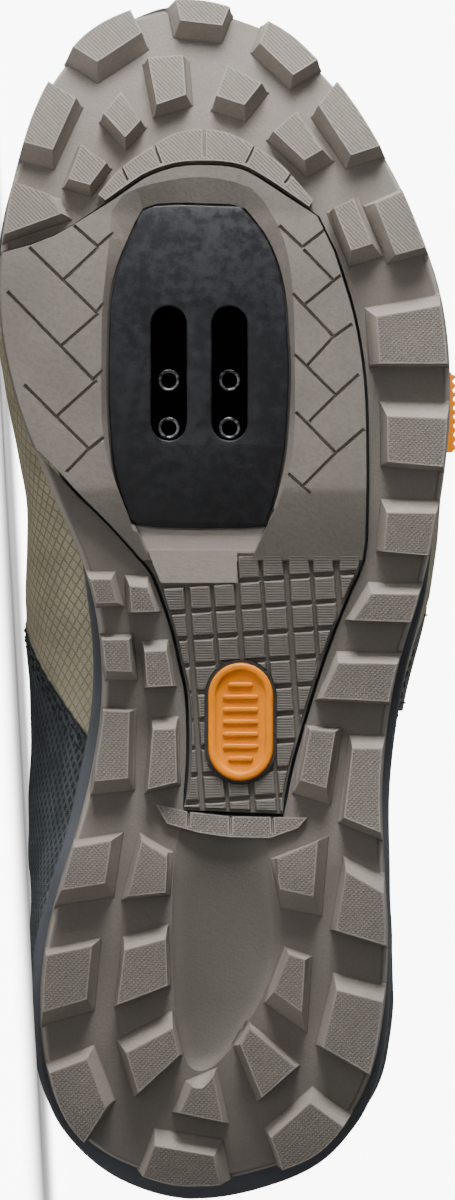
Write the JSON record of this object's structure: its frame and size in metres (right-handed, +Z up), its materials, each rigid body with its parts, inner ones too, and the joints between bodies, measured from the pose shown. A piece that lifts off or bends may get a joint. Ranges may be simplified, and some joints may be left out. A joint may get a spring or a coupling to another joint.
{
  "type": "cycling shoe",
  "caption": "Left mountain cycling shoe with a lugged rubber sole, a slotted plate for a cleat, a hollow cloth upper and strap closures, lying on its side.",
  "frame": {"origin": "on the floor, under the middle of the box around the shoe as it lies on its medial side", "axes": "+X runs towards the heel along the longest side, the sole faces -Y, and +Z is up, towards the lateral side of the shoe"},
  "size_m": [0.277, 0.1178, 0.109],
  "materials": {
    "outsole": "matt moulded rubber",
    "cleat_zone": "matt moulded rubber",
    "cleat_plate": "mottled black plastic",
    "arch_badge": "satin",
    "midsole": "matt foam",
    "upper": "woven cloth",
    "insole": "cloth",
    "tongue": "cloth",
    "forefoot_strap": "webbing",
    "instep_strap": "webbing",
    "pull_tab": "satin",
    "nuts": "brushed"
  },
  "bodies": {
    "root": {"outsole": "outsole", "cleat_zone": "cleat_zone", "cleat_plate": "cleat_plate", "arch_badge": "arch_badge", "midsole": "midsole", "upper": "upper", "insole": "insole", "tongue": "tongue", "forefoot_strap": "forefoot_strap", "instep_strap": "instep_strap", "pull_tab": "pull_tab", "cleat_nut_1": "nuts", "cleat_nut_2": "nuts", "cleat_nut_3": "nuts", "cleat_nut_4": "nuts"}
  },
  "joints": []
}
